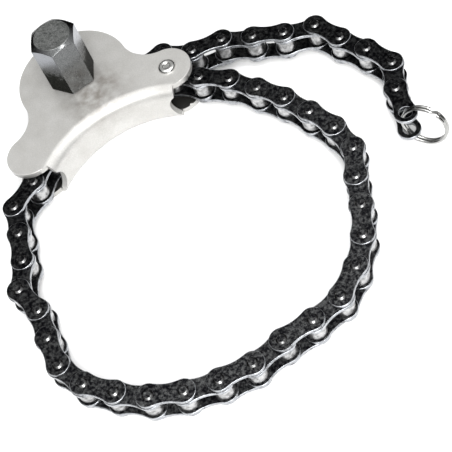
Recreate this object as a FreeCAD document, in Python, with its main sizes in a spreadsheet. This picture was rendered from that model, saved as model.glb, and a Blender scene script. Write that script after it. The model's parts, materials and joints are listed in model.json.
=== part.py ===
import FreeCAD, Part
import math
import os
import Sketcher

# Chain-type oil filter wrench: a folded steel body, a hexagonal drive stud with a toothed
# hub, a riveted roller chain and a split ring on the chain's free end.
#
# Frame: the origin is on the drive stud's axis, at the underside of the body's lower plate.
# +Z points up along the stud, -Y points at the oil filter that the saddle presses on.

doc = FreeCAD.newDocument("ChainFilterWrench")
Vector = FreeCAD.Vector
UP = Vector(0, 0, 1)

# ---------------------------------------------------------------- driving dimensions (mm, deg)

SIZES = [
    ("pitch", 12.7, "chain pitch, pin to pin"),
    ("roller_dia", 7.77, "roller outside diameter"),
    ("bushing_dia", 5.08, "bushing outside diameter"),
    ("pin_dia", 3.58, "chain pin diameter"),
    ("running_gap", 0.04, "radial clearance of a turning fit in the chain"),
    ("side_gap", 0.08, "axial clearance between neighbouring chain pieces"),
    ("inner_width", 6.38, "clear width between the inner plates"),
    ("link_plate", 1.27, "thickness of a chain plate"),
    ("inner_height", 9.6, "height of an inner plate"),
    ("outer_height", 9.1, "height of an outer plate"),
    ("waist_share", 0.78, "waist of a chain plate over its height"),
    ("pin_length", 12.9, "length of a chain pin over its riveted heads"),
    ("pin_head_dia", 4.1, "riveted head of a chain pin"),
    ("pin_head_bevel", 0.25, "bevel round a riveted head"),
    ("pin_dimple_dia", 1.44, "mouth of the dimple in a riveted head"),
    ("pin_dimple_floor", 0.4, "diameter of the dimple's floor"),
    ("pin_dimple_depth", 0.5, "depth of the dimple"),
    ("ring_hole_dia", 5.0, "hole for the split ring in the end link"),
    ("sheet_thickness", 2.5, "thickness of the folded steel sheet"),
    ("channel_gap", 13.5, "clear height between the body's two plates"),
    ("bend_outside", 5.0, "outside radius of the two folds"),
    ("saddle_radius", 44.0, "radius of the saddle that presses on the filter"),
    ("saddle_setback", 26.2, "stud axis to the middle of the saddle"),
    ("lobe_radius", 23.5, "round lobe about the stud"),
    ("wing_radius", 9.7, "rounded end of a wing"),
    ("wing_across", 32.0, "stud axis to a wing's centre, along X"),
    ("wing_forward", 23.2, "stud axis to a wing's centre, along -Y"),
    ("wing_wrap", 73.0, "run of a wing's rounding past its widest point, degrees"),
    ("wing_end", 9.0, "straight end of a wing, from its rounding towards the filter"),
    ("neck_radius", 13.0, "hollow between lobe and wing"),
    ("notch_radius", 6.9, "notch for the chain at each end of the saddle"),
    ("notch_length", 12.0, "length of a notch, along the saddle's radius"),
    ("notch_overhang", 6.0, "start of a notch in front of the saddle's face"),
    ("notch_offset", 6.9, "middle of a notch beside the radius through its wing's centre"),
    ("hex_flats", 17.46, "hexagon across flats, 11/16 inch"),
    ("hex_height", 25.4, "hexagon above the upper plate"),
    ("crown_dia", 14.9, "flat end of the hexagon, inside its chamfer"),
    ("crown_run", 1.73, "outward run of the chamfer over its drop"),
    ("washer_face", 0.5, "round face between the hexagon and the upper plate"),
    ("hex_turn", 3.5, "turn of the hexagon at rest"),
    ("journal_dia", 15.9, "stud journal in the upper plate"),
    ("foot_dia", 10.8, "stud journal in the lower plate"),
    ("square_flats", 11.0, "square seat of the toothed hub"),
    ("fit_gap", 0.05, "radial clearance of the stud's two journals"),
    ("clip_groove_dia", 14.4, "bottom of the retaining ring's groove"),
    ("clip_dia", 18.4, "retaining ring outside diameter"),
    ("clip_arc", 300, "arc of the open retaining ring"),
    ("clip_heading", 120, "direction of the retaining ring's first end"),
    ("clip_thickness", 1.1, "retaining ring thickness"),
    ("clip_drop", 0.4, "retaining ring below the upper plate"),
    ("collar_dia", 17.0, "spacer collar outside diameter"),
    ("hub_teeth", 7, "teeth of the toothed hub"),
    ("hub_thickness", 5.6, "thickness of the toothed hub"),
    ("hub_tip_dia", 30.8, "toothed hub over its teeth"),
    ("tooth_seat", 4.2, "radius of a tooth gap's round seat"),
    ("tooth_flank", 25, "slope of a tooth gap's flanks"),
    ("rivet_head_dia", 7.2, "anchor rivet's head"),
    ("rivet_head_height", 1.3, "anchor rivet's head above the upper plate"),
    ("mesh_direction", -77, "direction from the stud to the chain's arc centre"),
    ("hidden_turn", 7, "turn of each chain link inside the body"),
    ("ring_radius", 8.55, "split ring, centre of its wire"),
    ("ring_wire", 1.3, "split ring wire diameter"),
    ("ring_turn_gap", 0.05, "gap between the split ring's two turns"),
    ("ring_heading", -54, "direction in which the split ring points"),
    ("ring_lean", 8, "lean of the split ring from upright"),
    ("ring_jog", 10, "half of the split ring's jog from one turn to the other"),
    ("ring_jog_place", 62, "place of the jog, up from the ring's outermost point"),
]

sheet = doc.addObject("Spreadsheet::Sheet", "Sizes")
for row, (alias, value, meaning) in enumerate(SIZES, start=1):
    sheet.set("A%d" % row, meaning)
    sheet.set("B%d" % row, str(value))
    sheet.setAlias("B%d" % row, alias)
doc.recompute()


def size(alias):
    """A driving dimension, read from the spreadsheet."""
    return float(sheet.get(alias))


# Directions, in degrees, of the chain's links. The first list goes from the anchor rivet
# round the loop, the second along the free tail. Two more links close the loop.
LOOP_HEADINGS = [-50, -46, -61, -63, -72, -75, -89, -119, -115, -121, -135, -148, -173,
                 -180, -174, -189, -198, -209, -224, -232, -252, -276, -280, -260, -302, -288]
TAIL_HEADINGS = [-38, -14, -36, -35, -25, -72, -68, -74, -118, -107]
HIDDEN_LINKS = 6

body_height = size("channel_gap") + 2 * size("sheet_thickness")
chain_level = body_height / 2
pitch = size("pitch")
hub_pitch_radius = size("hub_teeth") * pitch / (2 * math.pi)
hidden_radius = pitch / 2 / math.sin(math.radians(size("hidden_turn") / 2))

parts = []


# ---------------------------------------------------------------- helpers

def bind(thing, **sizes):
    """Bind properties of an object to spreadsheet expressions; __ stands for a dot."""
    for name, expression in sizes.items():
        thing.setExpression(name.replace("__", "."), expression)
    return thing


def cylinder(name, radius, height, z="0"):
    thing = doc.addObject("Part::Cylinder", name)
    return bind(thing, Radius=radius, Height=height, Placement__Base__z=z)


def cone(name, low, high, height, z="0"):
    thing = doc.addObject("Part::Cone", name)
    return bind(thing, Radius1=low, Radius2=high, Height=height, Placement__Base__z=z)


def cut(name, base, tool):
    thing = doc.addObject("Part::Cut", name)
    thing.Base = base
    thing.Tool = tool
    return thing


def fuse(name, shapes):
    thing = doc.addObject("Part::MultiFuse", name)
    thing.Shapes = shapes
    return thing


def tube(name, outside, inside, height, z="0"):
    outer = cylinder(name + "_outside", outside, height, z)
    bore = cylinder(name + "_bore", inside, height, z)
    return cut(name, outer, bore)


def extrude(name, wire, height, z=0):
    """Extrude a closed outline; height is a spreadsheet expression."""
    face = doc.addObject("Part::Feature", name + "_outline")
    face.Shape = Part.Face(wire)
    face.Placement.Base = Vector(0, 0, z)
    thing = doc.addObject("Part::Extrusion", name)
    thing.Base = face
    thing.DirMode = "Custom"
    thing.Dir = UP
    thing.Solid = True
    return bind(thing, LengthFwd=height)


def polar(radius, degrees):
    angle = math.radians(degrees)
    return Vector(radius * math.cos(angle), radius * math.sin(angle), 0)


def arc(centre, radius, start, end):
    """Arc from one direction to another, in degrees, through the direction halfway."""
    middle = (start + end) / 2
    ends = [centre + polar(radius, angle) for angle in (start, middle, end)]
    return Part.Arc(*ends).toShape()


def line(start, end):
    return Part.makeLine(start, end)


def direction(start, end):
    return math.degrees(math.atan2(end.y - start.y, end.x - start.x))


def keep(name, thing):
    """Name an object as a sub-part of the wrench."""
    thing.Label = name
    parts.append(thing)
    return thing


def keep_copy(name, pieces, placement):
    """A sub-part made of separate pieces, copied from finished ones and placed."""
    thing = doc.addObject("Part::Feature", name)
    thing.Shape = Part.makeCompound([solid.copy() for piece in pieces
                                     for solid in piece.Shape.Solids])
    thing.Placement = placement
    return keep(name, thing)


# ---------------------------------------------------------------- folded body

filter_axis = Vector(0, -size("saddle_setback") - size("saddle_radius"), 0)
wing_centre = Vector(size("wing_across"), -size("wing_forward"), 0)


def neck_centre():
    """Centre of the hollow that touches the lobe and the right wing from outside."""
    to_lobe = size("lobe_radius") + size("neck_radius")
    to_wing = size("wing_radius") + size("neck_radius")
    span = wing_centre.Length
    along = (span ** 2 + to_lobe ** 2 - to_wing ** 2) / (2 * span)
    aside = math.sqrt(to_lobe ** 2 - along ** 2)
    across = Vector(-wing_centre.y, wing_centre.x, 0) / span
    return wing_centre / span * along + across * aside


def mirrored(vector):
    return Vector(-vector.x, vector.y, vector.z)


def body_outline():
    """The outline of both plates: lobe, two hollow necks, two wings, straight ends."""
    neck = neck_centre()
    wing = wing_centre
    origin = Vector(0, 0, 0)
    radial = (wing - filter_axis).normalize()
    sideways = Vector(radial.y, -radial.x, 0)
    wrap = math.radians(size("wing_wrap"))
    rounding = sideways * math.cos(wrap) - radial * math.sin(wrap)
    end_top = wing + rounding * size("wing_radius")
    end_low = end_top - radial * size("wing_end")
    lobe_start = direction(origin, neck)
    wing_end = direction(wing, neck)
    wing_start = direction(wing, end_top)
    neck_start = direction(neck, wing) % 360
    neck_end = direction(neck, origin) % 360
    right = [
        line(end_low, end_top),
        arc(wing, size("wing_radius"), wing_start, wing_end),
        arc(neck, size("neck_radius"), neck_start, neck_end),
    ]
    left = [edge.mirror(origin, Vector(1, 0, 0)) for edge in right]
    lobe = arc(origin, size("lobe_radius"), lobe_start, 180 - lobe_start)
    floor = line(mirrored(end_low), end_low)
    return Part.Wire(Part.__sortEdges__(right + [lobe] + left + [floor]))


def round_arc_edges(name, base, centre, radius, fillet_radius):
    """Round the edges of a solid that run round one centre at one radius."""
    chosen = []
    for number, edge in enumerate(base.Shape.Edges, start=1):
        curve = edge.Curve
        if not isinstance(curve, Part.Circle) or abs(curve.Radius - radius) > 1e-6:
            continue
        if math.hypot(curve.Center.x - centre.x, curve.Center.y - centre.y) < 1e-6:
            chosen.append((number, fillet_radius, fillet_radius))
    thing = doc.addObject("Part::Fillet", name)
    thing.Base = base
    thing.Edges = chosen
    return thing


def saddle_cylinder(name, radius):
    thing = cylinder(name, radius, "4 * Sizes.channel_gap", "-Sizes.channel_gap")
    return bind(thing, Placement__Base__y="-Sizes.saddle_setback - Sizes.saddle_radius")


def make_body_shell():
    height = "Sizes.channel_gap + 2 * Sizes.sheet_thickness"
    blank = extrude("body_blank", body_outline(), height)
    saddled = cut("body_saddled", blank, saddle_cylinder("saddle_face", "Sizes.saddle_radius"))
    doc.recompute()
    folded = round_arc_edges("body_folded", saddled, filter_axis, size("saddle_radius"),
                             size("bend_outside"))

    room = doc.addObject("Part::Box", "channel_room")
    bind(room, Length="4 * Sizes.wing_across", Width="4 * Sizes.wing_across",
         Height="Sizes.channel_gap", Placement__Base__x="-2 * Sizes.wing_across",
         Placement__Base__y="-Sizes.saddle_setback - Sizes.saddle_radius",
         Placement__Base__z="Sizes.sheet_thickness")
    inner_radius = size("saddle_radius") + size("sheet_thickness")
    channel = cut("channel", room, saddle_cylinder("channel_face",
                                                   "Sizes.saddle_radius + Sizes.sheet_thickness"))
    doc.recompute()
    channel = round_arc_edges("channel_folded", channel, filter_axis, inner_radius,
                              size("bend_outside") - size("sheet_thickness"))
    hollow = cut("body_hollow", folded, channel)

    tools = [
        cylinder("upper_bearing", "Sizes.journal_dia / 2 + Sizes.fit_gap",
                 "Sizes.channel_gap", "Sizes.channel_gap"),
        cylinder("lower_bearing", "Sizes.foot_dia / 2 + Sizes.fit_gap",
                 "3 * Sizes.sheet_thickness", "-Sizes.sheet_thickness"),
    ]
    rivet_hole = cylinder("rivet_hole", "Sizes.pin_dia / 2", "2 * Sizes.channel_gap",
                          "-Sizes.sheet_thickness")
    countersink = cone("rivet_countersink", "Sizes.pin_dia", "Sizes.pin_dia / 2",
                       "Sizes.pin_dia / 2")
    for tool in (rivet_hole, countersink):
        bind(tool, Placement__Base__x="Sizes.wing_across",
             Placement__Base__y="-Sizes.wing_forward")
        tools.append(tool)

    # The notches are bored along the radius of the saddle through the web's two ends.
    radial = (wing_centre - filter_axis).normalize()
    sideways = Vector(radial.y, -radial.x, 0)
    notch_start = filter_axis + sideways * size("notch_offset")
    notch_start += radial * (size("saddle_radius") - size("notch_overhang"))
    notch_start.z = chain_level
    for side in ("right", "left"):
        notch = doc.addObject("Part::Cylinder", "notch_" + side)
        bind(notch, Radius="Sizes.notch_radius", Height="Sizes.notch_length")
        start, along = notch_start, radial
        if side == "left":
            start, along = mirrored(notch_start), mirrored(radial)
        notch.Placement = FreeCAD.Placement(start, FreeCAD.Rotation(UP, along))
        tools.append(notch)
    openings = fuse("body_openings", tools)
    return keep("body_shell", cut("body_shell", hollow, openings))


# ---------------------------------------------------------------- drive stud and hub

def make_hex_stud():
    """Chamfered hexagon, washer face, journal with ring groove, square seat and foot."""
    top = "Sizes.channel_gap + 2 * Sizes.sheet_thickness"
    middle = "(Sizes.channel_gap / 2 + Sizes.sheet_thickness)"
    groove_top = "Sizes.channel_gap + Sizes.sheet_thickness - Sizes.clip_drop"
    groove_low = groove_top + " - Sizes.clip_thickness"
    seat_top = middle + " + Sizes.hub_thickness / 2"

    prism = doc.addObject("Part::Prism", "hexagon")
    prism.Polygon = 6
    bind(prism, Circumradius="Sizes.hex_flats / sqrt(3)",
         Height="Sizes.hex_height - Sizes.washer_face",
         Placement__Base__z=top + " + Sizes.washer_face")
    prism.Placement.Rotation = FreeCAD.Rotation(UP, size("hex_turn"))
    crown = cone("hexagon_crown", "Sizes.crown_dia / 2 + Sizes.crown_run * Sizes.hex_height",
                 "Sizes.crown_dia / 2", "Sizes.hex_height", top)
    head = doc.addObject("Part::MultiCommon", "hexagon_chamfered")
    head.Shapes = [prism, crown]

    journal = cylinder("stud_journal", "Sizes.journal_dia / 2",
                       "(%s + Sizes.washer_face) - (%s)" % (top, groove_top), groove_top)
    groove = cylinder("stud_groove", "Sizes.clip_groove_dia / 2", "Sizes.clip_thickness",
                      groove_low)
    shoulder = cylinder("stud_shoulder", "Sizes.journal_dia / 2",
                        "(%s) - (%s)" % (groove_low, seat_top), seat_top)
    seat = doc.addObject("Part::Box", "stud_seat")
    bind(seat, Length="Sizes.square_flats", Width="Sizes.square_flats",
         Height="Sizes.hub_thickness", Placement__Base__x="-Sizes.square_flats / 2",
         Placement__Base__y="-Sizes.square_flats / 2",
         Placement__Base__z=middle + " - Sizes.hub_thickness / 2")
    foot = cylinder("stud_foot", "Sizes.foot_dia / 2",
                    middle + " - Sizes.hub_thickness / 2")
    return keep("hex_stud", fuse("hex_stud", [head, journal, groove, shoulder, seat, foot]))


def origin_plane(body, role):
    for plane in body.Origin.OriginFeatures:
        if plane.Role == role:
            return plane
    raise ValueError(role)


def flat_sketch(body, name, edges):
    """A sketch on a body's XY plane, from ready lines and arcs."""
    sketch = body.newObject("Sketcher::SketchObject", name)
    sketch.AttachmentSupport = [(origin_plane(body, "XY_Plane"), "")]
    sketch.MapMode = "FlatFace"
    for edge in edges:
        sketch.addGeometry(edge, False)
    return sketch


def tooth_gap_edges():
    """A round seat for one roller, opened outwards by two sloping flanks."""
    centre = Vector(hub_pitch_radius, 0, 0)
    slope = size("tooth_flank")
    seat = size("tooth_seat")
    start = centre + polar(seat, 90 + slope)
    low = centre + polar(seat, -90 - slope)
    far = start + polar(size("hub_tip_dia") / 2, slope)
    far_low = Vector(far.x, -far.y, 0)
    return [
        Part.Arc(start, centre - Vector(seat, 0, 0), low),
        Part.LineSegment(low, far_low),
        Part.LineSegment(far_low, far),
        Part.LineSegment(far, start),
    ]


def make_drive_hub():
    """Toothed hub that meshes with the rollers of the chain inside the body."""
    body = doc.addObject("PartDesign::Body", "drive_hub")
    rim = Part.Circle(Vector(0, 0, 0), UP, size("hub_tip_dia") / 2)
    blank_sketch = flat_sketch(body, "hub_rim", [rim])
    blank_sketch.addConstraint(Sketcher.Constraint("Coincident", 0, 3, -1, 1))
    blank_sketch.addConstraint(Sketcher.Constraint("Diameter", 0, size("hub_tip_dia")))
    blank_sketch.renameConstraint(1, "tip_dia")
    bind(blank_sketch, Constraints__tip_dia="Sizes.hub_tip_dia")
    pad = body.newObject("PartDesign::Pad", "hub_blank")
    pad.Profile = blank_sketch
    bind(pad, Length="Sizes.hub_thickness")

    gap = body.newObject("PartDesign::Pocket", "tooth_gap")
    gap.Profile = flat_sketch(body, "tooth_gap_outline", tooth_gap_edges())
    gap.Type = "ThroughAll"
    gap.Reversed = True
    doc.recompute()
    whole, notched = pad.Shape.Volume, gap.Shape.Volume
    if notched > whole - 1:
        raise ValueError("the tooth gap cuts nothing")

    gaps = body.newObject("PartDesign::PolarPattern", "tooth_gaps")
    gaps.Originals = [gap]
    gaps.Axis = (blank_sketch, ["N_Axis"])
    gaps.Angle = 360
    bind(gaps, Occurrences="Sizes.hub_teeth")
    body.Tip = gaps
    doc.recompute()

    half = size("square_flats") / 2
    corners = [Vector(half, half, 0), Vector(-half, half, 0), Vector(-half, -half, 0),
               Vector(half, -half, 0)]
    turned = [FreeCAD.Rotation(UP, -hub_phase()).multVec(corner) for corner in corners]
    sides = [Part.LineSegment(turned[i], turned[(i + 1) % 4]) for i in range(4)]
    bore = body.newObject("PartDesign::Pocket", "hub_bore")
    bore.Profile = flat_sketch(body, "hub_bore_outline", sides)
    bore.Type = "ThroughAll"
    bore.Reversed = True
    body.Tip = bore
    doc.recompute()
    if bore.Shape.Volume > gaps.Shape.Volume - 1:
        raise ValueError("the bore cuts nothing")
    body.Placement = FreeCAD.Placement(
        Vector(0, 0, chain_level - size("hub_thickness") / 2),
        FreeCAD.Rotation(UP, hub_phase()))
    return keep("drive_hub", body)


def hub_phase():
    """At rest a tooth points along the line of centres, between two rollers."""
    return size("mesh_direction") + 180 / size("hub_teeth")


def make_retaining_ring():
    """Open spring ring in the stud's groove, just below the upper plate."""
    z = "Sizes.channel_gap + Sizes.sheet_thickness - Sizes.clip_drop - Sizes.clip_thickness"
    rim = cylinder("ring_rim", "Sizes.clip_dia / 2", "Sizes.clip_thickness", z)
    bind(rim, Angle="Sizes.clip_arc")
    bore = cylinder("ring_bore", "Sizes.clip_groove_dia / 2", "Sizes.clip_thickness", z)
    ring = cut("retaining_ring", rim, bore)
    ring.Placement.Rotation = FreeCAD.Rotation(UP, size("clip_heading"))
    return keep("retaining_ring", ring)


def make_spacer_collar():
    """Collar that carries the toothed hub at the height of the chain's rollers."""
    height = "Sizes.channel_gap / 2 - Sizes.hub_thickness / 2"
    return keep("spacer_collar", tube("spacer_collar", "Sizes.collar_dia / 2",
                                      "Sizes.foot_dia / 2", height, "Sizes.sheet_thickness"))


def make_anchor_rivet():
    """Rivet that holds the chain's fixed end, flush below, with a dimpled head above."""
    top = "Sizes.channel_gap + 2 * Sizes.sheet_thickness"
    shank = cylinder("rivet_shank", "Sizes.pin_dia / 2", top)
    flush_head = cone("rivet_flush_head", "Sizes.pin_dia", "Sizes.pin_dia / 2",
                      "Sizes.pin_dia / 2")
    rim = cylinder("rivet_rim", "Sizes.rivet_head_dia / 2", "Sizes.rivet_head_height / 2", top)
    dome = cone("rivet_dome", "Sizes.rivet_head_dia / 2", "Sizes.rivet_head_dia / 3",
                "Sizes.rivet_head_height / 2", top + " + Sizes.rivet_head_height / 2")
    dimple = cone("rivet_dimple", "0", "Sizes.rivet_head_dia / 5",
                  "Sizes.rivet_head_height / 2", top + " + Sizes.rivet_head_height / 2")
    rivet = cut("anchor_rivet", fuse("rivet_solid", [shank, flush_head, rim, dome]), dimple)
    rivet.Placement.Base = wing_centre
    return keep("anchor_rivet", rivet)


# ---------------------------------------------------------------- roller chain

def plate_outline(height):
    """Two round ends a pitch apart, joined by hollow waists."""
    end = height / 2
    waist = end * size("waist_share")
    half = pitch / 2
    hollow = (half ** 2 + waist ** 2 - end ** 2) / (2 * (end - waist))
    upper = Vector(half, waist + hollow, 0)
    right = Vector(pitch, 0, 0)
    left = Vector(0, 0, 0)
    touch = direction(right, upper)
    waist_start = direction(upper, right)
    edges = [
        arc(right, end, -touch, touch),
        arc(upper, hollow, waist_start, -180 - waist_start),
        arc(left, end, 180 - touch, 180 + touch),
        arc(Vector(half, -upper.y, 0), hollow, 180 + waist_start, -waist_start),
    ]
    return Part.Wire(Part.__sortEdges__(edges))


def chain_plate(name, height, holes, level):
    """A chain plate whose lower face is at a level; holes are (radius, x) expressions."""
    plate = extrude(name + "_blank", plate_outline(size(height)), "Sizes.link_plate", level)
    tools = []
    for end, radius in zip(("near", "far"), holes):
        hole = cylinder("%s_%s_hole" % (name, end), radius, "3 * Sizes.link_plate",
                        str(level - size("link_plate")))
        if end == "far":
            bind(hole, Placement__Base__x="Sizes.pitch")
        tools.append(hole)
    return cut(name, plate, fuse(name + "_holes", tools))


def chain_pin(name, x):
    """A pin with riveted, bevelled and dimpled heads on both ends."""
    over_plates = "(Sizes.inner_width + 4 * Sizes.link_plate + 2 * Sizes.side_gap)"
    head = "(Sizes.pin_length - %s) / 2" % over_plates
    crown = "Sizes.pin_head_dia / 2 - Sizes.pin_head_bevel"
    mouth, floor = "Sizes.pin_dimple_dia / 2", "Sizes.pin_dimple_floor / 2"
    depth = "Sizes.pin_dimple_depth"
    pieces = [
        cylinder(name + "_shank", "Sizes.pin_dia / 2", over_plates, "-%s / 2" % over_plates),
        cone(name + "_high_head", "Sizes.pin_head_dia / 2", crown, head, over_plates + " / 2"),
        cone(name + "_low_head", crown, "Sizes.pin_head_dia / 2", head, "-Sizes.pin_length / 2"),
    ]
    dimples = [
        cone(name + "_high_dimple", floor, mouth, depth, "Sizes.pin_length / 2 - " + depth),
        cone(name + "_low_dimple", mouth, floor, depth, "-Sizes.pin_length / 2"),
    ]
    pin = cut(name, fuse(name + "_solid", pieces), fuse(name + "_dimples", dimples))
    pin.Placement.Base = Vector(x, 0, 0)
    return pin


def bushing_and_roller(name, x):
    bushing = tube(name + "_bushing", "Sizes.bushing_dia / 2",
                   "Sizes.pin_dia / 2 + Sizes.running_gap",
                   "Sizes.inner_width + 2 * Sizes.link_plate",
                   "-Sizes.inner_width / 2 - Sizes.link_plate")
    roller = tube(name + "_roller", "Sizes.roller_dia / 2",
                  "Sizes.bushing_dia / 2 + Sizes.running_gap",
                  "Sizes.inner_width - 2 * Sizes.side_gap",
                  "-Sizes.inner_width / 2 + Sizes.side_gap")
    for piece in (bushing, roller):
        piece.Placement.Base = Vector(x, 0, 0)
    return [bushing, roller]


def plate_pair(name, height, holes, inner_face):
    """The lower and upper plate of a link; inner_face is half the clear width."""
    upper = chain_plate(name + "_upper", height, holes, inner_face)
    lower = chain_plate(name + "_lower", height, holes, -inner_face - size("link_plate"))
    return [upper, lower]


def make_link_masters():
    """The three sorts of pieces that the chain's links are copied from."""
    inner_face = size("inner_width") / 2
    outer_face = inner_face + size("link_plate") + size("side_gap")
    bushing_hole = "Sizes.bushing_dia / 2"
    pin_hole = "Sizes.pin_dia / 2"
    inner = plate_pair("inner_plate", "inner_height", (bushing_hole, bushing_hole), inner_face)
    inner += bushing_and_roller("near", 0)
    inner += bushing_and_roller("far", pitch)
    plates = plate_pair("outer_plate", "outer_height", (pin_hole, pin_hole), outer_face)
    near_pin = chain_pin("near_pin", 0)
    far_pin = chain_pin("far_pin", pitch)
    end_plates = plate_pair("end_plate", "outer_height",
                            (pin_hole, "Sizes.ring_hole_dia / 2"), outer_face)
    doc.recompute()
    return {
        "inner": inner,
        "outer": plates + [near_pin, far_pin],
        "end": end_plates + [near_pin],
    }


def walk(start, headings):
    """The pins that follow a start, one pitch apart, along a list of headings."""
    pins = [start]
    for heading in headings:
        pins.append(pins[-1] + polar(pitch, heading))
    return pins


def hidden_pins():
    """Pins inside the body, on an arc that runs past the toothed hub as a rack does."""
    towards = size("mesh_direction")
    turn = size("hidden_turn")
    centre = polar(hidden_radius + hub_pitch_radius, towards)
    first = towards + 180 + turn * (HIDDEN_LINKS + 1) / 2
    return [centre + polar(hidden_radius, first - turn * number)
            for number in range(HIDDEN_LINKS + 1)]


def closing_pin(start, end):
    """The pin between the last two links of the loop, on the loop's outer side."""
    reach = end - start
    middle = (start + end) / 2
    outward = Vector(-reach.y, reach.x, 0).normalize()
    return middle + outward * math.sqrt(pitch ** 2 - (reach.Length / 2) ** 2)


def chain_pins():
    """Every pin from the anchor rivet round the loop, through the body, to the tail."""
    hidden = hidden_pins()
    loop = walk(wing_centre, LOOP_HEADINGS)
    loop.append(closing_pin(loop[-1], hidden[0]))
    tail = walk(hidden[-1], TAIL_HEADINGS)
    return loop + hidden + tail[1:]


def make_chain(pins):
    masters = make_link_masters()
    last = len(pins) - 1
    for number in range(1, last + 1):
        start, end = pins[number - 1], pins[number]
        sort = "inner" if number % 2 else "outer"
        if number == last:
            sort = "end"
        place = Vector(start.x, start.y, chain_level)
        turn = FreeCAD.Rotation(UP, direction(start, end))
        keep_copy("chain_link_%02d" % number, masters[sort], FreeCAD.Placement(place, turn))


# ---------------------------------------------------------------- split ring

def ring_turn(name, level):
    """One open turn of the split ring's wire, at a level along the ring's axis."""
    turn = doc.addObject("Part::Torus", name)
    bind(turn, Radius1="Sizes.ring_radius", Radius2="Sizes.ring_wire / 2",
         Angle3="360 - 2 * Sizes.ring_jog")
    start = size("ring_jog_place") + size("ring_jog")
    turn.Placement = FreeCAD.Placement(Vector(0, 0, level), FreeCAD.Rotation(UP, start))
    return turn


def ring_ball(name, centre):
    ball = doc.addObject("Part::Sphere", name)
    bind(ball, Radius="Sizes.ring_wire / 2")
    ball.Placement.Base = centre
    return ball


def make_split_ring(hole):
    """Two close turns of wire joined by a jog, threaded through both end plates."""
    radius = size("ring_radius")
    level = (size("ring_wire") + size("ring_turn_gap")) / 2
    low = polar(radius, size("ring_jog_place") - size("ring_jog")) - UP * level
    high = polar(radius, size("ring_jog_place") + size("ring_jog")) + UP * level
    bridge = cylinder("ring_bridge", "Sizes.ring_wire / 2", str((high - low).Length))
    bridge.Placement = FreeCAD.Placement(low, FreeCAD.Rotation(UP, high - low))
    ring = fuse("split_ring", [ring_turn("ring_low_turn", -level),
                               ring_turn("ring_high_turn", level), bridge,
                               ring_ball("ring_low_ball", low),
                               ring_ball("ring_high_ball", high)])
    half_chord = (size("inner_width") + 3 * size("link_plate")) / 2 + size("side_gap")
    half_chord /= math.cos(math.radians(size("ring_lean")))
    offset = math.sqrt(radius ** 2 - half_chord ** 2)
    leaning = FreeCAD.Rotation(Vector(1, 0, 0), 90 - size("ring_lean"))
    heading = FreeCAD.Rotation(UP, size("ring_heading"))
    centre = hole + polar(offset, size("ring_heading"))
    centre.z = chain_level
    ring.Placement = FreeCAD.Placement(centre, heading.multiply(leaning))
    return keep("split_ring", ring)


# ---------------------------------------------------------------- build and write

def check_document():
    doc.recompute()
    for thing in doc.Objects:
        if "Invalid" in thing.State or "Error" in thing.State:
            raise ValueError("%s failed: %s" % (thing.Name, thing.State))
    for part in parts:
        if part.Shape.isNull() or not part.Shape.isValid():
            raise ValueError("%s has no valid shape" % part.Label)


def write_parts():
    os.makedirs("parts", exist_ok=True)
    for part in parts:
        part.Shape.exportStep("parts/%s.step" % part.Label)
        print(part.Label, len(part.Shape.Solids), round(part.Shape.Volume, 1))


make_body_shell()
make_hex_stud()
make_drive_hub()
make_retaining_ring()
make_spacer_collar()
make_anchor_rivet()
pins = chain_pins()
make_chain(pins)
make_split_ring(pins[-1])
check_document()
write_parts()
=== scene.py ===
import json
import math

import bmesh
import bpy
from mathutils import Matrix, Vector


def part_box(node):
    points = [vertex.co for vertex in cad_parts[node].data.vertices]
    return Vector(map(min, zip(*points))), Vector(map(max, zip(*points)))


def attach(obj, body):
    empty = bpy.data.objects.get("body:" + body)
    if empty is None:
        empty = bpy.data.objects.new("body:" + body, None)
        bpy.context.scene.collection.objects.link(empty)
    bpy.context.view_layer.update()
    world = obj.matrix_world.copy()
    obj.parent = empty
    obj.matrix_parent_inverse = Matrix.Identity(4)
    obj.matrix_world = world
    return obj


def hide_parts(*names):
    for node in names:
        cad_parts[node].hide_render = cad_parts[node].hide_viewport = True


# Looks of a chain-type oil filter wrench: folded zinc-plated body, phosphated hexagon stud,
# black roller chain and a bright split ring. Lengths are in metres; MM turns millimetres
# into metres. The chain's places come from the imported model's joints.

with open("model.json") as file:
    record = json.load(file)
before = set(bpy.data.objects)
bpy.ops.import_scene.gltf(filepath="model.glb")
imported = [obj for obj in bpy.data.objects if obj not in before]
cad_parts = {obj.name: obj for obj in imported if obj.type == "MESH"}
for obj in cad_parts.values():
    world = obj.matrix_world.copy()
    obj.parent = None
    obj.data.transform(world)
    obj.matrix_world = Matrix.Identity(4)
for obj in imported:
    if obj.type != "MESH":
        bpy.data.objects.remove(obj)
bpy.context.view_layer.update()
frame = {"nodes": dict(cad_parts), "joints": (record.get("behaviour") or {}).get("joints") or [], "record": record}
MM = 0.001
joint_places = {joint["name"]: Vector(joint["pos_m"]) for joint in frame["joints"]}
nodes = frame["nodes"]


# ---------------------------------------------------------------- chain places

# Pins are numbered from the anchor rivet, round the loop, through the body and out to the
# end of the tail. The hidden ones are inside the body, and the open one has no joint.
FIRST_HIDDEN = 28
LAST_HIDDEN = 34
OPEN_PIN = 16
LAST_PIN = 44


def hidden_places():
    """Pins inside the body, evenly spread on an arc about the feed joint."""
    centre = joint_places["chain_feed"]
    first = joint_places["loop_pivot_%02d" % FIRST_HIDDEN] - centre
    last = joint_places["tail_pivot_01"] - centre
    turn = first.xy.angle_signed(last.xy)
    steps = LAST_HIDDEN - FIRST_HIDDEN
    return {FIRST_HIDDEN + step: centre + Matrix.Rotation(-turn * step / steps, 3, "Z") @ first
            for step in range(steps + 1)}


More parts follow.
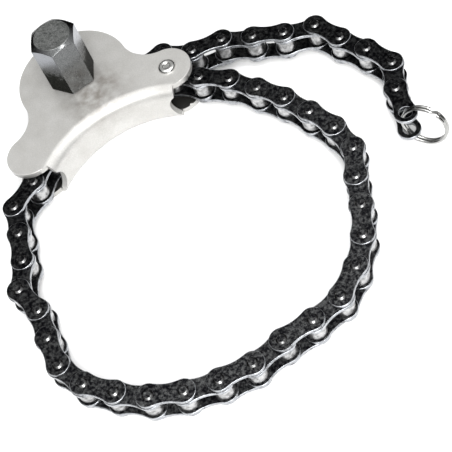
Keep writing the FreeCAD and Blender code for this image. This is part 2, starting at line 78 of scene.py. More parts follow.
def open_place(before, after, pitch, inside):
    """The pin one pitch from both neighbours, on the side away from the loop's inside."""
    middle = (before + after) / 2
    reach = after - before
    across = Vector((-reach.y, reach.x, 0)).normalized()
    if across.dot(middle - inside) < 0:
        across.negate()
    return middle + across * math.sqrt(pitch ** 2 - (reach.length / 2) ** 2)


def chain_places():
    """Where each pin's axis crosses the chain's middle plane, by pin number."""
    places = hidden_places()
    for number in range(1, OPEN_PIN + 1):
        places[number - 1] = joint_places["loop_pivot_%02d" % number]
    for number in range(OPEN_PIN + 1, FIRST_HIDDEN):
        places[number] = joint_places["loop_pivot_%02d" % number]
    for number in range(1, LAST_PIN - LAST_HIDDEN + 1):
        places[LAST_HIDDEN + number - 1] = joint_places["tail_pivot_%02d" % number]
    places[LAST_PIN] = joint_places["ring_swivel"]
    pitch = (places[1] - places[0]).length
    places[OPEN_PIN] = open_place(places[OPEN_PIN - 1], places[OPEN_PIN + 1], pitch,
                                  joint_places["chain_feed"])
    return places


pins = chain_places()
PITCH = (pins[1] - pins[0]).length
CHAIN_LEVEL = pins[0].z


# ---------------------------------------------------------------- materials

PATTERN_SPREAD = 3.0


class Material:
    """A procedural material, built node by node round one Principled shader."""

    def __init__(self, name, metallic=1.0, specular=0.5):
        self.material = bpy.data.materials.new(name)
        self.material.use_nodes = True
        self.tree = self.material.node_tree
        self.shader = self.tree.nodes["Principled BSDF"]
        lookup = self.add("ShaderNodeTexCoord")
        self.coordinates = lookup.outputs["Object"]
        self.normal = lookup.outputs["Normal"]
        self.set("Metallic", metallic)
        self.set("Specular IOR Level", specular)

    def add(self, kind, inputs=None, **settings):
        node = self.tree.nodes.new(kind)
        for key, value in settings.items():
            setattr(node, key, value)
        for key, value in (inputs or {}).items():
            self.feed(node.inputs[key], value)
        return node

    def feed(self, socket, value):
        if isinstance(value, bpy.types.NodeSocket):
            self.tree.links.new(value, socket)
        else:
            socket.default_value = value

    def set(self, name, value):
        self.feed(self.shader.inputs[name], value)

    def scatter(self):
        """Moves the pattern by a different amount on each object."""
        info = self.add("ShaderNodeObjectInfo")
        offset = self.add("ShaderNodeMath", {0: info.outputs["Random"], 1: PATTERN_SPREAD},
                          operation="MULTIPLY")
        moved = self.add("ShaderNodeVectorMath",
                         {0: self.coordinates, 1: offset.outputs[0]}, operation="ADD")
        self.coordinates = moved.outputs[0]

    def axes(self, vector):
        """The X, Y and Z outputs of a vector."""
        return self.add("ShaderNodeSeparateXYZ", {0: vector}).outputs

    def noise(self, grain, detail=4.0, roughness=0.55, squeeze=None):
        """Noise between 0 and 1 whose grains are a length across, or less on some axes."""
        vector = self.coordinates
        if squeeze:
            mapping = self.add("ShaderNodeMapping", {"Vector": vector, "Scale": squeeze})
            vector = mapping.outputs[0]
        node = self.add("ShaderNodeTexNoise", {"Vector": vector, "Scale": 1 / grain,
                                               "Detail": detail, "Roughness": roughness})
        return node.outputs["Fac"]

    def ramp(self, factor, *stops):
        """Colours along a factor; each stop is (position, grey level or colour)."""
        node = self.add("ShaderNodeValToRGB", {"Fac": factor})
        elements = node.color_ramp.elements
        while len(elements) < len(stops):
            elements.new(0.5)
        for element, (position, colour) in zip(elements, stops):
            element.position = position
            if not isinstance(colour, tuple):
                colour = (colour, colour, colour)
            element.color = (*colour, 1)
        return node.outputs["Color"]

    def span(self, value, start, end):
        """0 at the start and 1 at the end of a range of values."""
        node = self.add("ShaderNodeMapRange", {"Value": value, "From Min": start,
                                               "From Max": end})
        return node.outputs["Result"]

    def mix(self, factor, first, second, blend="MIX"):
        node = self.add("ShaderNodeMix", data_type="RGBA", blend_type=blend)
        for index, value in ((0, factor), (6, first), (7, second)):
            if isinstance(value, tuple) and len(value) == 3:
                value = (*value, 1)
            self.feed(node.inputs[index], value)
        return node.outputs[2]

    def times(self, first, second):
        """Two colours or grey levels multiplied."""
        return self.mix(1.0, first, second, "MULTIPLY")

    def distance(self, vector, centre):
        node = self.add("ShaderNodeVectorMath", {0: vector, 1: centre}, operation="DISTANCE")
        return node.outputs["Value"]

    def bump(self, height, strength, distance):
        node = self.add("ShaderNodeBump", {"Height": height, "Strength": strength,
                                           "Distance": distance})
        self.set("Normal", node.outputs["Normal"])

    def near(self, centre, radius, softness):
        """1 inside a sphere about a point, fading to 0 over a softness."""
        reach = self.distance(self.coordinates, centre)
        return self.span(reach, radius + softness, radius)


SHEET = 2.5 * MM
SADDLE_RADIUS = 44 * MM
SADDLE_AXIS = Vector((0, -70.2 * MM, 0))
# Distances from the saddle's axis where the painted shade behind the web is full and where it ends.
CHANNEL_SHADE_FULL = 54 * MM
CHANNEL_SHADE_END = 66 * MM
SKIN = 0.05 * MM


def zinc_sheet():
    """Matte, warm zinc plating with fine grain, faint cloudiness and painted shade in front of the stud's foot."""
    finish = Material("zinc_plated_sheet", metallic=0.5)
    cloud = finish.ramp(finish.noise(9 * MM, 5.0), (0.3, (0.46, 0.452, 0.432)),
                        (0.7, (0.53, 0.525, 0.508)))
    grain = finish.ramp(finish.noise(0.45 * MM, 3.0), (0.3, 0.82), (0.7, 1.0))
    stud_front = Vector((3 * MM, -14 * MM, top_of("body_shell")))
    # Painted shade: a ragged dark patch is painted on the plate in front of the stud's foot.
    stud_shade_mask = finish.times(finish.ramp(finish.noise(4 * MM, 6.0), (0.32, 0.1), (0.66, 0.9)),
                         finish.near(stud_front, 4 * MM, 14 * MM))
    with_stud_shade = finish.mix(stud_shade_mask, finish.times(cloud, grain), (0.20, 0.18, 0.16))
    # Painted shade: the inner faces of the channel are painted near black.
    finish.set("Base Color", finish.mix(channel_shade_mask(finish), with_stud_shade, (0.03, 0.029, 0.027)))
    finish.set("Roughness", finish.ramp(finish.noise(3 * MM, 4.0), (0.3, 0.36), (0.7, 0.46)))
    finish.bump(finish.noise(0.6 * MM, 5.0, 0.65), 0.35, 0.03 * MM)
    return finish.material


def channel_shade_mask(finish):
    """1 on the inner faces, between the plates and behind the saddle's web, where near-black shade is painted."""
    low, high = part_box("body_shell")
    level = finish.add("ShaderNodeVectorMath", {0: finish.coordinates, 1: (1, 1, 0)},
                       operation="MULTIPLY")
    reach = finish.distance(level.outputs[0], SADDLE_AXIS)
    web_back = SADDLE_RADIUS + SHEET
    behind = finish.times(finish.span(reach, web_back - 4 * SKIN, web_back - SKIN),
                          finish.span(reach, CHANNEL_SHADE_END, CHANNEL_SHADE_FULL))
    height = finish.axes(finish.coordinates)["Z"]
    floor, ceiling = low.z + SHEET - SKIN, high.z - SHEET + SKIN
    between = finish.times(finish.span(height, floor, floor + SKIN / 2),
                           finish.span(height, ceiling, ceiling - SKIN / 2))
    return finish.times(between, behind)


def top_of(node):
    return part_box(node)[1].z


def phosphated_stud():
    """Dark speckled phosphate; every flat but the front one has a painted reflection on its upper part and painted
    shade towards the foot.
    """
    finish = Material("phosphated_steel")
    facing = finish.axes(finish.normal)
    grain = finish.noise(0.45 * MM, 6.0, 0.8)
    flats = finish.ramp(grain, (0.36, (0.065, 0.067, 0.069)), (0.64, (0.17, 0.175, 0.175)))
    patches = finish.mix(0.5, grain, finish.noise(1.8 * MM, 6.0, 0.7))
    crown = finish.ramp(patches, (0.36, (0.08, 0.09, 0.085)), (0.62, (0.50, 0.51, 0.50)))
    speckle = finish.mix(finish.span(facing["Z"], 0.9, 0.98), flats, crown)
    side = finish.times(finish.span(facing["Y"], -0.98, -0.8),
                        finish.span(facing["Z"], 0.45, 0.2))
    height = finish.span(finish.axes(finish.coordinates)["Z"], top_of("body_shell"),
                         top_of("hex_stud"))
    # Painted reflection: the upper part of every side flat but the front one is made lighter.
    painted_sheen_mask = finish.times(side, finish.ramp(height, (0.45, 0.0), (0.8, 0.8)))
    speckle_with_painted_sheen = finish.mix(painted_sheen_mask, speckle, (0.24, 0.25, 0.27))
    # Painted shade: towards the foot the side flats are painted near black, and their reflection is dimmed there.
    ragged = finish.add("ShaderNodeMath", {0: finish.noise(1.1 * MM, 5.0, 0.7), 1: height},
                        operation="SUBTRACT")
    dark_patches = finish.times(side, finish.ramp(ragged.outputs[0], (0.0, 0.0), (0.1, 1.0)))
    dark_grain = finish.ramp(grain, (0.42, (0.008, 0.009, 0.008)), (0.62, (0.085, 0.088, 0.08)))
    finish.set("Base Color", finish.mix(dark_patches, speckle_with_painted_sheen, dark_grain))
    finish.set("Specular Tint", finish.mix(dark_patches, (1, 1, 1), (0.5, 0.5, 0.5)))
    finish.set("Roughness", finish.ramp(finish.noise(1.5 * MM, 5.0), (0.35, 0.14), (0.7, 0.30)))
    finish.bump(finish.noise(0.4 * MM, 5.0, 0.7), 0.25, 0.02 * MM)
    return finish.material


def oiled_steel(name, light, roughness):
    """Bare machined steel under oil: turning lines and darker stains."""
    finish = Material(name)
    dark_patches = finish.ramp(finish.noise(4 * MM, 5.0), (0.3, light * 0.55), (0.7, light))
    lines = finish.ramp(finish.noise(0.5 * MM, 2.0, squeeze=(1, 1, 6)), (0.3, 0.8), (0.7, 1.0))
    finish.set("Base Color", finish.times(dark_patches, lines))
    finish.set("Roughness", finish.ramp(finish.noise(2 * MM), (0.3, roughness * 0.8),
                                        (0.7, roughness * 1.3)))
    finish.bump(finish.noise(0.5 * MM, 3.0, squeeze=(1, 1, 6)), 0.2, 0.02 * MM)
    return finish.material


def chain_black(name):
    """Oiled black oxide with grey mottling and worn spots; the object's colour shades it."""
    finish = Material(name, metallic=0.0)
    finish.scatter()
    dark_grain = finish.noise(1.3 * MM, 8.0, 0.75)
    mottle = finish.ramp(dark_grain, (0.46, (0.002, 0.002, 0.003)), (0.68, (0.062, 0.064, 0.064)))
    worn = finish.ramp(finish.noise(0.6 * MM, 5.0, 0.7), (0.66, 0.0), (0.76, 1.0))
    shade = finish.add("ShaderNodeObjectInfo").outputs["Color"]
    colour = finish.mix(worn, mottle, (0.22, 0.22, 0.22))
    finish.set("Base Color", finish.times(colour, shade))
    gloss = finish.ramp(dark_grain, (0.44, 0.02), (0.68, 0.55))
    finish.set("Specular IOR Level", finish.times(gloss, shade))
    finish.set("Roughness", finish.ramp(finish.noise(2.2 * MM, 5.0), (0.35, 0.24), (0.7, 0.5)))
    finish.bump(finish.noise(0.7 * MM, 6.0, 0.7), 0.8, 0.06 * MM)
    return finish.material


def chain_edge():
    """Punched plate edge: the oxide is rubbed through to steel in places."""
    finish = Material("chain_worn_edge")
    finish.scatter()
    worn = finish.noise(2.2 * MM, 5.0, 0.6)
    finish.set("Base Color", finish.ramp(worn, (0.33, (0.10, 0.10, 0.105)),
                                         (0.45, (0.29, 0.30, 0.315)), (0.7, (0.44, 0.45, 0.47))))
    finish.set("Roughness", finish.ramp(finish.noise(1 * MM), (0.3, 0.22), (0.7, 0.4)))
    finish.bump(finish.noise(0.35 * MM, 3.0, squeeze=(1, 1, 0.25)), 0.25, 0.03 * MM)
    return finish.material


def chain_bright(name, light, roughness):
    """Bare steel of the pins' heads and the rollers, with a film of dark oil."""
    finish = Material(name)
    finish.scatter()
    film = finish.noise(1.8 * MM, 5.0, 0.6)
    finish.set("Base Color", finish.ramp(film, (0.32, light * 0.25), (0.58, light)))
    finish.set("Roughness", finish.ramp(film, (0.3, roughness * 1.5), (0.7, roughness)))
    finish.bump(finish.noise(0.5 * MM, 4.0), 0.2, 0.02 * MM)
    return finish.material


def bright_plating(name, tint):
    """Bright plated metal with hairline marks."""
    finish = Material(name)
    cloud = finish.ramp(finish.noise(2 * MM, 4.0), (0.3, tuple(part * 0.8 for part in tint)),
                        (0.7, tint))
    finish.set("Base Color", cloud)
    finish.set("Roughness", finish.ramp(finish.noise(0.7 * MM, 5.0), (0.3, 0.08), (0.8, 0.26)))
    finish.bump(finish.noise(0.3 * MM, 4.0, squeeze=(1, 1, 3)), 0.12, 0.01 * MM)
    return finish.material


# ---------------------------------------------------------------- mesh helpers

ROUNDING_STEPS = 3


def circle(radius, x=0.0, count=32):
    """Points round a circle about (x, 0), anticlockwise."""
    turn = 2 * math.pi / count
    return [Vector((x + radius * math.cos(turn * number), radius * math.sin(turn * number)))
            for number in range(count)]


def outward_normals(points, inwards=False):
    """Unit normals of an anticlockwise loop, away from the material."""
    count = len(points)
    normals = []
    for index, point in enumerate(points):
        chord = points[(index + 1) % count] - points[index - 1]
        normal = Vector((chord.y, -chord.x)).normalized()
        normals.append(-normal if inwards else normal)
    return normals


def prism(mesh, outline, holes, low, high, rounding, cap_slot, wall_slot):
    """A flat plate with holes; every edge of both faces is rounded."""
    turns = [math.pi / 2 * step / ROUNDING_STEPS for step in range(ROUNDING_STEPS + 1)]
    lower = [(low + rounding * (1 - math.cos(turn)), rounding * (1 - math.sin(turn)))
             for turn in turns]
    section = lower + [(low + high - level, inset) for level, inset in reversed(lower)]
    caps = {0: [], len(section) - 1: []}
    for loop, inwards in [(outline, False)] + [(hole, True) for hole in holes]:
        normals = outward_normals(loop, inwards)
        rings = []
        for level, inset in section:
            ring = [mesh.verts.new((*(point - normal * inset), level))
                    for point, normal in zip(loop, normals)]
            rings.append(ring)
        bridge(mesh, rings, wall_slot)
        for end in caps:
            ring = rings[end]
            caps[end] += [mesh.edges.get((ring[index - 1], ring[index]))
                          for index in range(len(ring))]
    for edges in caps.values():
        filled = bmesh.ops.triangle_fill(mesh, edges=edges, use_beauty=True)
        for face in filled["geom"]:
            if isinstance(face, bmesh.types.BMFace):
                face.material_index = cap_slot


def bridge(mesh, rings, slot, closed=False):
    """Quads between neighbouring rings of vertices; closed joins the last to the first."""
    pairs = list(zip(rings, rings[1:]))
    if closed:
        pairs.append((rings[-1], rings[0]))
    for lower, upper in pairs:
        for index in range(len(lower)):
            corners = (lower[index - 1], lower[index], upper[index], upper[index - 1])
            face = mesh.faces.new(corners)
            face.material_index = slot
            face.smooth = True


def lathe(mesh, profile, x, slot, count=32, closed=False, caps=True):
    """A turned shape about a vertical axis at (x, 0); the profile is (radius, level) pairs."""
    rings = []
    for radius, level in profile:
        rings.append([mesh.verts.new((point.x, point.y, level))
                      for point in circle(radius, x, count)])
    bridge(mesh, rings, slot, closed)
    if caps and not closed:
        for ring in (rings[0], rings[-1]):
            face = mesh.faces.new(ring)
            face.material_index = slot


def quarter(radius, level, size, start, end, steps=4):
    """Profile points of a rounded edge about (radius, level), between two angles."""
    points = []
    for step in range(steps + 1):
        angle = math.radians(start + (end - start) * step / steps)
        points.append((radius + size * math.cos(angle), level + size * math.sin(angle)))
    return points


def finished_mesh(mesh, name, materials, sharp=40):
    """Turns a bmesh into mesh data, shaded smooth except across sharp edges."""
    bmesh.ops.recalc_face_normals(mesh, faces=mesh.faces[:])
    data = bpy.data.meshes.new(name)
    for face in mesh.faces:
        face.smooth = True
    mesh.to_mesh(data)
    mesh.free()
    for material in materials:
        data.materials.append(material)
    data.set_sharp_from_angle(angle=math.radians(sharp))
    return data


def add_object(name, data, place=None):
    thing = bpy.data.objects.new(name, data)
    bpy.context.scene.collection.objects.link(thing)
    if place is not None:
        thing.matrix_world = place
    return thing


def weigh_normals(thing):
    """Flat faces keep their own normal where they meet a rounded edge."""
    modifier = thing.modifiers.new("weighted_normals", "WEIGHTED_NORMAL")
    modifier.keep_sharp = True


# ---------------------------------------------------------------- roller chain

PLATE_THICKNESS = 1.27 * MM
PLATE_GAP = 0.08 * MM
INNER_HEIGHT = 9.6 * MM
OUTER_HEIGHT = 9.1 * MM
WAIST_SHARE = 0.78
PLATE_ROUNDING = 0.22 * MM
BUSHING_RADIUS = 2.54 * MM
ROLLER_RADIUS = 3.885 * MM
PIN_RADIUS = 1.79 * MM
HEAD_RADIUS = 2.05 * MM
PIN_FACE_RADIUS = 1.42 * MM
RING_HOLE_RADIUS = 2.5 * MM
BORE_CLEARANCE = 0.04 * MM
BUSHING_EDGE = 0.15 * MM
ROLLER_EDGE = 0.5 * MM
END_STEPS = 22
WAIST_STEPS = 10
OILED_SHADE = 0.3
DRY_SHADE = 0.95
PLATE, EDGE, PIN, ROLLER, PIN_END = range(5)

chain_low, chain_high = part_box("chain_link_02")
PIN_HALF = (chain_high.z - chain_low.z) / 2
inner_low, inner_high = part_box("chain_link_01")
INNER_HALF = (inner_high.z - inner_low.z) / 2
OUTER_HALF = INNER_HALF + PLATE_GAP + PLATE_THICKNESS


def plate_outline(height):
    """Two round ends a pitch apart, joined by hollow waists."""
    end = height / 2
    waist = end * WAIST_SHARE
    half = PITCH / 2
    hollow = (half ** 2 + waist ** 2 - end ** 2) / (2 * (end - waist))
    touch = math.atan2(waist + hollow, -half)
    points = []
    for step in range(END_STEPS + 1):
        angle = -touch + 2 * touch * step / END_STEPS
        points.append(Vector((PITCH + end * math.cos(angle), end * math.sin(angle))))
    start = touch - math.pi
    for step in range(1, WAIST_STEPS):
        angle = start + (-math.pi - 2 * start) * step / WAIST_STEPS
        points.append(Vector((half + hollow * math.cos(angle),
                              waist + hollow + hollow * math.sin(angle))))
    turned = [Vector((PITCH - point.x, -point.y)) for point in points]
    return points + turned


def plate_pair(mesh, height, holes, outer_face):
    """A plate on each side of the chain's middle, with outer faces at a distance from it."""
    outline = plate_outline(height)
    for low in (outer_face - PLATE_THICKNESS, -outer_face):
        prism(mesh, outline, holes, low, low + PLATE_THICKNESS, PLATE_ROUNDING, PLATE, EDGE)


def pin_shape(mesh, x):
    """A pin whose riveted ends have a polished bevel round a dark, slightly dished end."""
    slope = 0.9 * (HEAD_RADIUS - PIN_FACE_RADIUS)
    rim = PIN_FACE_RADIUS - 0.04 * MM
    upper = [(PIN_RADIUS, OUTER_HALF), (HEAD_RADIUS, OUTER_HALF),
             (HEAD_RADIUS, PIN_HALF - slope), (PIN_FACE_RADIUS + 0.06 * MM, PIN_HALF - 0.06 * MM),
             (rim, PIN_HALF)]
    lower = [(radius, -level) for radius, level in reversed(upper)]
    lathe(mesh, lower + upper, x, PIN, caps=False)
    dish = [(rim, 0), (0.9 * MM, 0.07 * MM), (0.3 * MM, 0.16 * MM), (0.1 * MM, 0.17 * MM)]
    for side in (1, -1):
        profile = [(radius, side * (PIN_HALF - depth)) for radius, depth in dish]
        lathe(mesh, profile, x, PIN_END, caps=False)
        radius, level = profile[-1]
        middle = mesh.faces.new([mesh.verts.new((*spot, level)) for spot in circle(radius, x)])
        middle.material_index = PIN_END


def bushing_shape(mesh, x):
    bore = PIN_RADIUS + BORE_CLEARANCE
    upper = [(BUSHING_RADIUS, INNER_HALF - BUSHING_EDGE),
             (BUSHING_RADIUS - BUSHING_EDGE, INNER_HALF), (bore, INNER_HALF)]
    lower = [(radius, -level) for radius, level in reversed(upper)]
    lathe(mesh, lower + upper, x, ROLLER, closed=True)


def roller_shape(mesh, x):
    half = INNER_HALF - PLATE_THICKNESS - PLATE_GAP
    bore = BUSHING_RADIUS + BORE_CLEARANCE
    centre = ROLLER_RADIUS - ROLLER_EDGE
    profile = [(bore, -half)]
    profile += quarter(centre, ROLLER_EDGE - half, ROLLER_EDGE, -90, 0)
    profile += quarter(centre, half - ROLLER_EDGE, ROLLER_EDGE, 0, 90)
    profile.append((bore, half))
    lathe(mesh, profile, x, ROLLER, count=36, closed=True)


def link_mesh(sort, materials):
    """An inner, outer or end link from its first pin at the origin to its second on +X."""
    mesh = bmesh.new()
    if sort == "inner":
        holes = [circle(BUSHING_RADIUS, 0), circle(BUSHING_RADIUS, PITCH)]
        plate_pair(mesh, INNER_HEIGHT, holes, INNER_HALF)
        for x in (0, PITCH):
            bushing_shape(mesh, x)
            roller_shape(mesh, x)
    else:
        holes = [circle(RING_HOLE_RADIUS, PITCH)] if sort == "end" else []
        plate_pair(mesh, OUTER_HEIGHT, holes, OUTER_HALF)
        pin_shape(mesh, 0)
        if sort == "outer":
            pin_shape(mesh, PITCH)
    bmesh.ops.remove_doubles(mesh, verts=mesh.verts[:], dist=0.001 * MM)
    return finished_mesh(mesh, "chain_%s_link" % sort, materials)


def dryness(number):
    """Shade of a link: black with oil in the tail and the body, greyer round the loop."""
    share = min((number - 2) / 6, (FIRST_HIDDEN - number) / 10, 1)
    return OILED_SHADE + (DRY_SHADE - OILED_SHADE) * max(share, 0)


def make_chain():
    materials = [chain_black("chain_black_oxide"), chain_edge(),
                 chain_bright("chain_pin_steel", 0.17, 0.2),
                 chain_bright("chain_roller_steel", 0.46, 0.26), chain_black("chain_pin_end")]
    meshes = {sort: link_mesh(sort, materials) for sort in ("inner", "outer", "end")}
    bodies = frame["record"]["behaviour"]["bodies"]
    owners = {node: body for body, members in bodies.items() for node in members}
    for number in range(1, LAST_PIN + 1):
        start, end = pins[number - 1], pins[number]
        sort = "inner" if number % 2 else "outer" if number < LAST_PIN else "end"
        heading = math.atan2(end.y - start.y, end.x - start.x)
        place = Matrix.Translation((start.x, start.y, CHAIN_LEVEL))
        place = place @ Matrix.Rotation(heading, 4, "Z")
        link = add_object("roller_chain_link_%02d" % number, meshes[sort], place)
        weigh_normals(link)
        shade = dryness(number)
        link.color = (shade, shade, shade, 1)
        node = "chain_link_%02d" % number
        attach(link, owners[node])
        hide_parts(node)


# ---------------------------------------------------------------- pressed and turned parts

def softened(node, name, material, body, width, levels=(), sharpest=25.0, segments=3):
    """A copy of a CAD part whose sharp edges, or those at the given levels, are rounded."""
    mesh = bmesh.new()
    mesh.from_mesh(nodes[node].data)
    bmesh.ops.remove_doubles(mesh, verts=mesh.verts[:], dist=0.001 * MM)
    bmesh.ops.dissolve_limit(mesh, angle_limit=math.radians(0.1), verts=mesh.verts[:],
                             edges=mesh.edges[:])
    edges = [edge for edge in mesh.edges if len(edge.link_faces) == 2
             and edge.calc_face_angle(0) > math.radians(sharpest)
             and (not levels or lies_level(edge, levels))]
    bmesh.ops.bevel(mesh, geom=edges, offset=width, offset_type="OFFSET", segments=segments,
                    profile=0.5, affect="EDGES", clamp_overlap=False, loop_slide=True)
    bmesh.ops.triangulate(mesh, faces=[face for face in mesh.faces if len(face.verts) > 4])
    data = finished_mesh(mesh, name, [material], sharp=32)
    part = add_object(name, data)
    weigh_normals(part)
    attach(part, body)
    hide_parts(node)
    return part


def lies_level(edge, levels):
    """True for an edge that runs level at one of the heights."""
    near = 0.01 * MM
    return any(all(abs(vertex.co.z - level) < near for vertex in edge.verts)
               for level in levels)


RIVET_TINT = (0.78, 0.78, 0.76)
FLUSH_HEAD_RADIUS = 2 * PIN_RADIUS


def make_anchor_rivet():
    """Rivet with a domed, dimpled head above and a flush head below."""
    low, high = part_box("anchor_rivet")
    top = top_of("body_shell")
    head = high.z - top
    radius = (high.x - low.x) / 2
    below = [(0.1 * MM, low.z), (FLUSH_HEAD_RADIUS - 0.1 * MM, low.z),
             (FLUSH_HEAD_RADIUS, low.z + 0.05 * MM), (PIN_RADIUS, low.z + PIN_RADIUS)]
    dome = [(radius - 0.15 * MM, top - 0.05 * MM)]
    dome += quarter(radius - head, top, head, 0, 90, 8)
    dimple = [(1.75 * MM, high.z), (1.55 * MM, high.z - 0.08 * MM),
              (1.2 * MM, high.z - head * 0.42), (0.5 * MM, high.z - head * 0.5),
              (0.1 * MM, high.z - head * 0.46)]
    mesh = bmesh.new()
    lathe(mesh, below + dome + dimple, 0, 0, count=48)
    data = finished_mesh(mesh, "anchor_rivet_head", [bright_plating("rivet_zinc", RIVET_TINT)])
    rivet = add_object("domed_anchor_rivet", data, Matrix.Translation((pins[0].x, pins[0].y, 0)))
    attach(rivet, "wrench_body")
    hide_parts("anchor_rivet")


# ---------------------------------------------------------------- split ring

RING_RADIUS = 8.55 * MM
RING_WIRE = 1.3 * MM
RING_LEVEL = 0.675 * MM
RING_HEADING = math.radians(-54)
RING_LEAN = math.radians(8)
RING_HALF_CHORD = 5.175 * MM
JOG_PLACE = math.radians(62)
JOG_HALF = math.radians(10)
RING_STEPS = 220
WIRE_SIDES = 14
WIRE_END_SHARE = 0.86
RING_TINT = (0.40, 0.40, 0.39)


def ring_path():
    """Centre line of the wire: one turn below, a smooth jog, one turn above."""
    start = JOG_PLACE + JOG_HALF - 2 * math.pi
    end = JOG_PLACE - JOG_HALF + 2 * math.pi
    points = []
    for step in range(RING_STEPS + 1):
        angle = start + (end - start) * step / RING_STEPS
        along = min(max((angle - JOG_PLACE + JOG_HALF) / (2 * JOG_HALF), 0), 1)
        level = -RING_LEVEL * math.cos(math.pi * along)
        points.append(Vector((RING_RADIUS * math.cos(angle), RING_RADIUS * math.sin(angle),
                              level)))
    return points


def make_split_ring():
    """Two close turns of round wire through the end link's holes."""
    mesh = bmesh.new()
    section = circle(RING_WIRE / 2, count=WIRE_SIDES)
    path = ring_path()
    rings = []
    for index, point in enumerate(path):
        before, after = max(index - 1, 0), min(index + 1, RING_STEPS)
        along = (path[after] - path[before]).normalized()
        side = along.cross(Vector((point.x, point.y, 0))).normalized()
        outward = side.cross(along)
        share = WIRE_END_SHARE if index in (0, RING_STEPS) else 1.0
        rings.append([mesh.verts.new(point + (outward * spot.x + side * spot.y) * share)
                      for spot in section])
    bridge(mesh, rings, 0)
    for ring in (rings[0], rings[-1]):
        mesh.faces.new(ring)
    data = finished_mesh(mesh, "split_ring_wire", [bright_plating("ring_nickel", RING_TINT)])
    chord = RING_HALF_CHORD / math.cos(RING_LEAN)
    offset = math.sqrt(RING_RADIUS ** 2 - chord ** 2)
    hole = pins[LAST_PIN]
    centre = Vector((hole.x + offset * math.cos(RING_HEADING),
                     hole.y + offset * math.sin(RING_HEADING), CHAIN_LEVEL))
    place = Matrix.Translation(centre) @ Matrix.Rotation(RING_HEADING, 4, "Z")
    place = place @ Matrix.Rotation(math.pi / 2 - RING_LEAN, 4, "X")
    ring = add_object("wire_split_ring", data, place)
    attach(ring, "pull_ring")
    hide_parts("split_ring")


# ---------------------------------------------------------------- build the object

softened("body_shell", "folded_body", zinc_sheet(), "wrench_body",
         0.3 * MM, levels=[corner.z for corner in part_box("body_shell")])
softened("hex_stud", "hexagon_stud", phosphated_stud(), "drive", 0.16 * MM)
softened("drive_hub", "toothed_hub", oiled_steel("hub_steel", 0.4, 0.3), "drive",
         0.25 * MM)
softened("retaining_ring", "open_spring_ring", oiled_steel("spring_steel", 0.24, 0.28),
         "drive", 0.1 * MM)
softened("spacer_collar", "plain_collar", oiled_steel("collar_steel", 0.36, 0.32),
         "drive", 0.25 * MM)
make_anchor_rivet()
make_chain()
make_split_ring()


# ---------------------------------------------------------------- floor, light, camera

FLOOR_RADIUS = 0.42
FLOOR_TONES = (0.93, 0.95)
FRONT_SKY = 1.7
BACK_SKY = 0.42
SKY_TURN = 0.35
SKY_STOPS = ((0.0, 0.02), (0.42, 0.04), (0.64, 0.85), (1.0, 1.0))
SKY_STRENGTH = 1.25
LIGHTS = (("key_light", (-0.08, -0.62, 0.55), 0.42, 13.0),
          ("top_light", (0.05, 0.1, 0.9), 0.5, 2.0),
          ("glint_light", (0.1, -0.157, 0.61), 0.09, 24.0))
TARGET = Vector((13.21, -101.03, 15.7)) * MM
ELEVATION = math.radians(54.81)
AZIMUTH = math.radians(-9.2)
ROLL = math.radians(-25.62)
DISTANCE = 471.0 * MM
SENSOR = 36.0
FOCAL_PIXELS = 1300.0
PICTURE_PIXELS = 452.0


def make_floor():
    mesh = bmesh.new()
    bmesh.ops.create_circle(mesh, cap_ends=True, radius=FLOOR_RADIUS, segments=96)
    finish = Material("studio_floor", metallic=0.0, specular=0.2)
    dark, pale = FLOOR_TONES
    finish.set("Base Color", finish.ramp(finish.noise(40 * MM, 2.0), (0.3, dark), (0.7, pale)))
    finish.set("Roughness", 0.8)
    data = finished_mesh(mesh, "floor", [finish.material])
    floor = add_object("floor", data, Matrix.Translation((TARGET.x, TARGET.y, 0)))


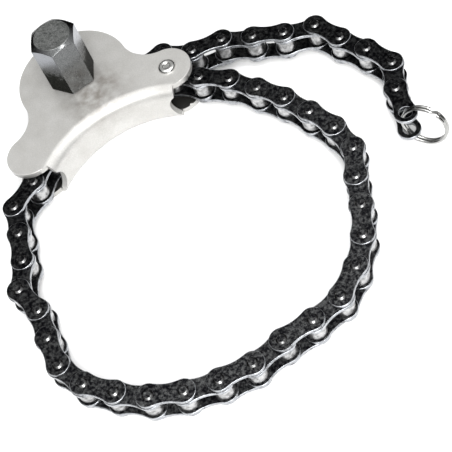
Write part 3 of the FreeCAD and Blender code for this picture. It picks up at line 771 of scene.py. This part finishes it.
def make_world():
    """A dome, bright in front and overhead, dark at the horizon; seen directly it is white."""
    world = bpy.data.worlds.new("studio")
    bpy.context.scene.world = world
    world.use_nodes = True
    tree = world.node_tree
    background = tree.nodes["Background"]
    coordinates = tree.nodes.new("ShaderNodeTexCoord")
    parts = tree.nodes.new("ShaderNodeSeparateXYZ")
    ramp = tree.nodes.new("ShaderNodeValToRGB")
    while len(ramp.color_ramp.elements) < len(SKY_STOPS):
        ramp.color_ramp.elements.new(0.5)
    for element, (position, level) in zip(ramp.color_ramp.elements, SKY_STOPS):
        element.position = position
        element.color = (level, level, level, 1)
    side = tree.nodes.new("ShaderNodeMapRange")
    for name, value in (("From Min", -SKY_TURN), ("From Max", SKY_TURN),
                        ("To Min", FRONT_SKY), ("To Max", BACK_SKY)):
        side.inputs[name].default_value = value
    sky = tree.nodes.new("ShaderNodeVectorMath")
    sky.operation = "SCALE"
    rays = tree.nodes.new("ShaderNodeLightPath")
    mix = tree.nodes.new("ShaderNodeMix")
    mix.data_type = "RGBA"
    mix.inputs[7].default_value = (1, 1, 1, 1)
    tree.links.new(coordinates.outputs["Generated"], parts.inputs[0])
    tree.links.new(parts.outputs["Z"], ramp.inputs["Fac"])
    tree.links.new(parts.outputs["Y"], side.inputs["Value"])
    tree.links.new(ramp.outputs["Color"], sky.inputs[0])
    tree.links.new(side.outputs["Result"], sky.inputs["Scale"])
    tree.links.new(rays.outputs["Is Camera Ray"], mix.inputs[0])
    tree.links.new(sky.outputs[0], mix.inputs[6])
    tree.links.new(mix.outputs[2], background.inputs["Color"])
    background.inputs["Strength"].default_value = SKY_STRENGTH


def make_light(name, place, size, radiance):
    """A square soft light that faces the object."""
    light = bpy.data.lights.new(name, "AREA")
    light.shape = "SQUARE"
    light.size = size
    light.energy = radiance * math.pi * size ** 2
    lamp = add_object(name, light)
    lamp.location = place
    lamp.rotation_euler = (TARGET - Vector(place)).to_track_quat("-Z", "Y").to_euler()


def make_camera():
    """The photograph's view: a long lens high above the front, with the camera rolled."""
    forward = Vector((-math.cos(ELEVATION) * math.sin(AZIMUTH),
                      math.cos(ELEVATION) * math.cos(AZIMUTH), -math.sin(ELEVATION)))
    level = Vector((math.cos(AZIMUTH), math.sin(AZIMUTH), 0))
    up = level.cross(forward)
    right = math.cos(ROLL) * level + math.sin(ROLL) * up
    top = -math.sin(ROLL) * level + math.cos(ROLL) * up
    camera = bpy.data.cameras.new("camera")
    camera.sensor_width = SENSOR
    camera.lens = FOCAL_PIXELS / PICTURE_PIXELS * SENSOR
    camera.clip_start = 0.01
    rotation = Matrix((right, top, -forward)).transposed().to_4x4()
    place = Matrix.Translation(TARGET - forward * DISTANCE) @ rotation
    bpy.context.scene.camera = add_object("camera", camera, place)


make_floor()
make_world()
for name, place, size, radiance in LIGHTS:
    make_light(name, place, size, radiance)
make_camera()
bpy.context.scene.view_settings.view_transform = "Standard"
